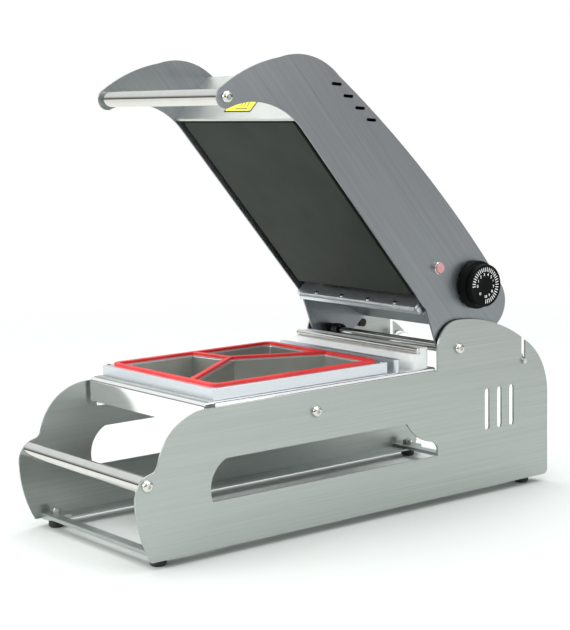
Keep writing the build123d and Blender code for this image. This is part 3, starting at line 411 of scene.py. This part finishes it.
# %% Coatings and plastics
def moulded(name, dark, light, gloss, grain_waves, grain_depth, through=0.0, through_colour=None, shine=0.5):
    """Make a non-metal with a fine moulded texture, and let some light into it if asked."""
    finish, tree, shader = start_finish(name, 0.0, gloss)
    shader.inputs["Specular IOR Level"].default_value = shine
    texture = noise_on(tree, (grain_waves, grain_waves, grain_waves), detail=3.0)
    clouds = noise_on(tree, (25, 25, 25), detail=2.0)
    tree.links.new(ramp_between(tree, clouds, dark, light), shader.inputs["Base Color"])
    tree.links.new(range_between(tree, texture, gloss - 0.05, gloss + 0.08), shader.inputs["Roughness"])
    bump_from(tree, texture, shader, grain_depth)
    if through:
        shader.inputs["Subsurface Weight"].default_value = through
        shader.inputs["Subsurface Radius"].default_value = through_colour
        shader.inputs["Subsurface Scale"].default_value = 0.002
    return finish


plate_coating = moulded("plate_coating", (0.016, 0.022, 0.017), (0.023, 0.030, 0.023), 0.42, 1800,
                        0.00002, shine=0.10)
red_silicone = moulded("red_silicone", (0.62, 0.020, 0.020), (0.76, 0.036, 0.034), 0.34, 900,
                       0.00001, 0.25, (1.0, 0.2, 0.1))
foot_rubber = moulded("foot_rubber", (0.012, 0.012, 0.012), (0.022, 0.022, 0.022), 0.62, 1500, 0.00004)
white_nylon = moulded("white_nylon", (0.74, 0.76, 0.75), (0.84, 0.85, 0.84), 0.36, 1200, 0.00001,
                      0.3, (1.0, 0.9, 0.8))
black_plastic = moulded("black_plastic", (0.0025, 0.003, 0.0025), (0.0045, 0.005, 0.0045), 0.46,
                        2200, 0.00002, shine=0.07)
mineral_board = moulded("mineral_board", (0.50, 0.47, 0.40), (0.66, 0.63, 0.56), 0.80, 500, 0.0001)
label_yellow = moulded("label_yellow", (0.80, 0.74, 0.02), (0.90, 0.83, 0.05), 0.32, 300, 0.000005)
label_black = moulded("label_black", (0.012, 0.012, 0.012), (0.020, 0.020, 0.020), 0.34, 300, 0.000005)
dial_white = moulded("dial_white", (0.78, 0.79, 0.78), (0.88, 0.88, 0.87), 0.42, 900, 0.000005)
lamp_red = moulded("lamp_red", (0.56, 0.27, 0.28), (0.66, 0.34, 0.35), 0.30, 400, 0.000005, 0.4,
                   (1.0, 0.3, 0.3))
print("coatings and plastics ready")

# %% [markdown]
# The record names a material slot for every node of the machine. A table from slot to finish
# dresses them all in one loop, and the sheet metal of the head gets the head's grain.

# %% Dress the machine
finish_of_slot = {
    "brushed_steel": base_steel, "polished_steel": polished_sheet, "chrome": chrome,
    "plated_steel": plated_steel,
    "aluminium": die_aluminium, "coated_aluminium": plate_coating, "copper_bulb": bulb_copper,
    "silicone": red_silicone, "rubber": foot_rubber, "white_nylon": white_nylon,
    "black_plastic": black_plastic,
    "board": mineral_board, "lens": lamp_red, "label": label_yellow, "black_steel": black_steel,
}
head_nodes = frame["record"]["behaviour"]["bodies"]["head"]


def dress(piece, finish):
    """Give a whole piece one finish."""
    piece.data.materials.clear()
    piece.data.materials.append(finish)
    return piece


for subpart in frame["record"]["subparts"]:
    finish = finish_of_slot[subpart["material_slot"]]
    if finish is base_steel and subpart["node"] in head_nodes:
        finish = panel_painted_reflection if subpart["node"] == "head_front_panel" else head_steel
    if subpart["node"] == "deck_plate":
        finish = deck_steel
    dress(nodes[subpart["node"]], finish)

# %% [markdown]
# ## Making pieces from numbers
#
# The pieces we add are surfaces of revolution, flat printed shapes and rows of small forms. A
# surface of revolution is a profile, radius against height, spun about an axis. `spin_profile`
# works out every point at once as arrays, and `put_mesh` hands them to Blender.


# %% Mesh helpers
def put_mesh(name, points, faces, finish, body, smooth=True):
    """Make a piece from an array of points and a list of faces, dress it and let it ride on a body."""
    mesh = bpy.data.meshes.new(name)
    mesh.from_pydata(points.tolist(), [], faces)
    mesh.validate()
    mesh.polygons.foreach_set("use_smooth", np.full(len(mesh.polygons), smooth))
    piece = bpy.data.objects.new(name, mesh)
    bpy.context.scene.collection.objects.link(piece)
    dress(piece, finish)
    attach(piece, body)
    return piece


def grid_faces(rows, columns, wrap):
    """List the four-sided faces between neighbours on a grid, closing each row on itself if wrap."""
    spans = columns if wrap else columns - 1
    row, column = np.meshgrid(np.arange(rows - 1), np.arange(spans), indexing="ij")
    after = (column + 1) % columns
    corners = np.stack([row * columns + column, row * columns + after,
                        (row + 1) * columns + after, (row + 1) * columns + column], axis=-1)
    return corners.reshape(-1, 4).tolist()


def spin_profile(profile, turns, origin, axis, sideways):
    """Spin a profile of (radius, height) about an axis.

    A point is origin + height * axis + radius * (cos a * sideways + sin a * other), where other is
    the axis crossed with sideways. Both ends of the profile are closed by a fan of triangles.
    """
    radius, height = np.array(profile, float).T
    angle = np.arange(turns) * 2 * pi / turns
    axis, sideways = np.array(axis, float), np.array(sideways, float)
    other = np.cross(axis, sideways)
    round_way = np.cos(angle)[:, None] * sideways + np.sin(angle)[:, None] * other
    points = np.array(origin) + height[:, None, None] * axis + radius[:, None, None] * round_way
    points = np.concatenate([points.reshape(-1, 3),
                             [np.array(origin) + height[0] * axis, np.array(origin) + height[-1] * axis]])
    faces = grid_faces(len(profile), turns, True)
    first, last = len(points) - 2, len(points) - 1
    ring = (len(profile) - 1) * turns
    faces += [(first, (k + 1) % turns, k) for k in range(turns)]
    faces += [(last, ring + k, ring + (k + 1) % turns) for k in range(turns)]
    return points, faces


print("mesh helpers ready")

# %% [markdown]
# ## Thermostat knob
#
# The real knob is a two-step moulding: a wide skirt by the head, a groove, and a cap with a
# slightly dished face. The mechanical model has plain cylinders with the same radii, so we spin a
# finer profile inside them and let it stand for the plain one. Small roundings at each step are
# what catch the light on black plastic.

# %% Thermostat knob
knob_low, knob_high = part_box("thermostat_knob")
knob_axis = Vector((1, 0, 0))
knob_centre = Vector((knob_low.x, (knob_low.y + knob_high.y) / 2, (knob_low.z + knob_high.z) / 2))
knob_depth = knob_high.x - knob_low.x
skirt_radius = (knob_high.y - knob_low.y) / 2
cap_radius = skirt_radius - 0.003
dish_radius = cap_radius - 0.0022


def rounded_step(radius, height, rounding, outwards):
    """Return three points that round a corner of the profile by a quarter turn."""
    angles = np.linspace(0, pi / 2, 4) if outwards else np.linspace(pi / 2, 0, 4)
    centre = (radius - rounding, height - rounding)
    return [(centre[0] + rounding * cos(a), centre[1] + rounding * sin(a)) for a in angles]


knob_profile = [(skirt_radius - 0.002, 0.0), (skirt_radius - 0.0006, 0.0002), (skirt_radius, 0.001)]
knob_profile += rounded_step(skirt_radius, 0.0064, 0.0010, True)
knob_profile += [(cap_radius - 0.0008, 0.0066), (cap_radius - 0.0012, 0.0074), (cap_radius - 0.0010, 0.0102)]
knob_profile += [(cap_radius - 0.0002, 0.0108), (cap_radius, 0.0116)]
knob_profile += rounded_step(cap_radius, knob_depth, 0.0016, True)
knob_profile += [(dish_radius, knob_depth - 0.0002), (dish_radius - 0.0006, knob_depth - 0.0007),
                 (0.004, knob_depth - 0.0007), (0.0004, knob_depth - 0.0007)]
points, faces = spin_profile(knob_profile, 96, knob_centre, knob_axis, (0, 1, 0))
dial = put_mesh("thermostat_dial", points, faces, black_plastic, "knob")
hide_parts("thermostat_knob")
print("knob", round(1000 * 2 * skirt_radius), "mm wide,", len(faces), "faces")

# %% [markdown]
# The scale is printed white on the dish: a stroke for every step and a numeral for every third.
# It runs clockwise over three quarters of a turn. Each stroke is a flat bar laid along its own
# radius, so all of them come out of one array of angles.

# %% Dial strokes and numerals
face_height = knob_depth - 0.0007 + 0.00006
scale_origin = knob_centre + knob_axis * face_height
# Seen from outside, along -X, the machine's front is on the left.
dial_left = Vector((0, -1, 0))
dial_up = Vector((0, 0, 1))
stroke_count = 31
stroke_angles = pi - np.linspace(0, 1.5 * pi, stroke_count)
face_right = -np.array(dial_left)


def on_dial(radius, angle):
    """Return the points of the dial's face at arrays of radius and angle, counted from the right."""
    return (np.array(scale_origin) + (radius * np.cos(angle))[..., None] * face_right
            + (radius * np.sin(angle))[..., None] * np.array(dial_up))


def bars(angles, inner, outer, width):
    """Lay one flat bar along each angle, from an inner to an outer radius, and return its mesh."""
    half = width / 2
    along = np.array([inner, outer, outer, inner])
    aside = np.array([-half, -half, half, half])
    radius = np.hypot(along, aside)[None, :] + 0 * angles[:, None]
    angle = angles[:, None] + np.arctan2(aside, along)[None, :]
    corners = on_dial(radius, angle).reshape(-1, 3)
    return corners, np.arange(len(corners)).reshape(-1, 4).tolist()


points, faces = bars(stroke_angles, 0.0151, 0.0196, 0.0010)
put_mesh("dial_strokes", points, faces, dial_white, "knob", smooth=False)

for step in range(11):
    angle = stroke_angles[3 * step]
    text = bpy.data.curves.new("numeral", "FONT")
    text.body = str(step)
    text.size = 0.0040
    text.offset = 0.00016
    text.align_x = "CENTER"
    text.align_y = "CENTER"
    holder = bpy.data.objects.new("numeral", text)
    bpy.context.scene.collection.objects.link(holder)
    bpy.context.view_layer.update()
    mesh = bpy.data.meshes.new_from_object(holder.evaluated_get(bpy.context.evaluated_depsgraph_get()))
    bpy.data.objects.remove(holder)
    bpy.data.curves.remove(text)
    centre = on_dial(np.array(0.0120), np.array(angle))
    stand = Matrix((face_right, dial_up, knob_axis)).transposed().to_4x4()
    mesh.transform(Matrix.Translation(centre) @ stand)
    numeral = bpy.data.objects.new("dial_numeral_%02d" % step, mesh)
    bpy.context.scene.collection.objects.link(numeral)
    dress(numeral, dial_white)
    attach(numeral, "knob")

# The off mark is a small ring between the scale's two ends.
around = np.arange(25) * 2 * pi / 24
off_place = on_dial(np.array(0.0115), np.array(-0.75 * pi))
round_way = np.cos(around)[:, None] * face_right + np.sin(around)[:, None] * np.array(dial_up)
ring = [off_place + radius * round_way for radius in (0.0009, 0.0015)]
put_mesh("dial_off_mark", np.concatenate(ring), grid_faces(2, 25, False), dial_white, "knob", smooth=False)
print("dial has", stroke_count, "strokes, 11 numerals and an off mark")

# %% [markdown]
# ## Hot-surface label
#
# Machines with a hot plate carry a yellow and black mark near the handle. Ours is a generic one: a
# black panel, a yellow field, and three heat waves over a bar. The label lies on the front panel,
# so we take its plane from the mechanical model's own label: the two directions in that plane and
# the one out of it follow from the label's corners.

# %% Hot-surface label
label_low, label_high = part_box("warning_label")
label_centre = np.array((label_low + label_high) / 2)
label_width = label_high.x - label_low.x
label_across = np.array((1.0, 0.0, 0.0))
label_points = np.array([v.co for v in nodes["warning_label"].data.vertices])
spread = np.linalg.svd(label_points - label_points.mean(0), full_matrices=False)[2]
label_out = spread[2] * np.sign(spread[2] @ np.array((0, -1, 0)))
label_rise = np.cross(label_out, label_across)
label_height = np.ptp(label_points @ label_rise)
label_top = (label_points @ label_out).max() - label_centre @ label_out


def on_label(across, rise, lift):
    """Return points on the label, from its centre, lifted off its face."""
    return (label_centre + (label_top + lift) * label_out
            + across[..., None] * label_across + rise[..., None] * label_rise)


def label_shape(name, across, rise, lift, finish):
    """Print one flat shape on the label from its outline."""
    points = on_label(np.array(across, float), np.array(rise, float), lift)
    return put_mesh(name, points, [tuple(range(len(points)))], finish, "head", smooth=False)


def round_box(width, height, rounding, steps=6):
    """Return the outline of a rectangle with rounded corners, as arrays across and up."""
    quarter = np.linspace(0, pi / 2, steps)
    signs = [(1, 1), (-1, 1), (-1, -1), (1, -1)]
    turns = [quarter + k * pi / 2 for k in range(len(signs))]
    across = [sx * (width / 2 - rounding) + rounding * np.cos(turn) for (sx, sy), turn in zip(signs, turns)]
    rise = [sy * (height / 2 - rounding) + rounding * np.sin(turn) for (sx, sy), turn in zip(signs, turns)]
    return np.concatenate(across), np.concatenate(rise)


dress(nodes["warning_label"], label_black)
field_across, field_rise = round_box(label_width - 0.003, label_height - 0.003, 0.0012)
label_shape("label_field", field_across, field_rise, 0.00004, label_yellow)
symbol_across, bar_drop = 0.005, -0.006
bar_across, bar_rise = round_box(0.020, 0.0014, 0.0005)
label_shape("label_bar", bar_across + symbol_across, bar_rise + bar_drop, 0.00008, label_black)


def heat_wave(offset):
    """Return the outline of one rising wave: a band about a sine, leaning a little, 0.7 mm each side."""
    along = np.linspace(-0.0040, 0.0058, 19)
    sway = 0.0011 * np.sin((along - along[0]) / np.ptp(along) * 2 * pi) + 0.25 * along + offset
    return np.concatenate([sway - 0.0007, (sway + 0.0007)[::-1]]), np.concatenate([along, along[::-1]])


for number, offset in enumerate(np.array((-0.0055, 0.0, 0.0055)) + symbol_across):
    label_shape("label_wave_%d" % number, *heat_wave(offset), 0.00008, label_black)
print("label", round(1000 * label_width), "by", round(1000 * label_height), "mm")

# %% [markdown]
# ## Check the size
#
# The visual model must stay inside the mechanical one.

# %% Size
visual_low, visual_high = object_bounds()
growth = max(max(cad_low - visual_low), max(visual_high - cad_high))
print("the visual model reaches", round(1000 * growth, 3), "mm past the mechanical one")
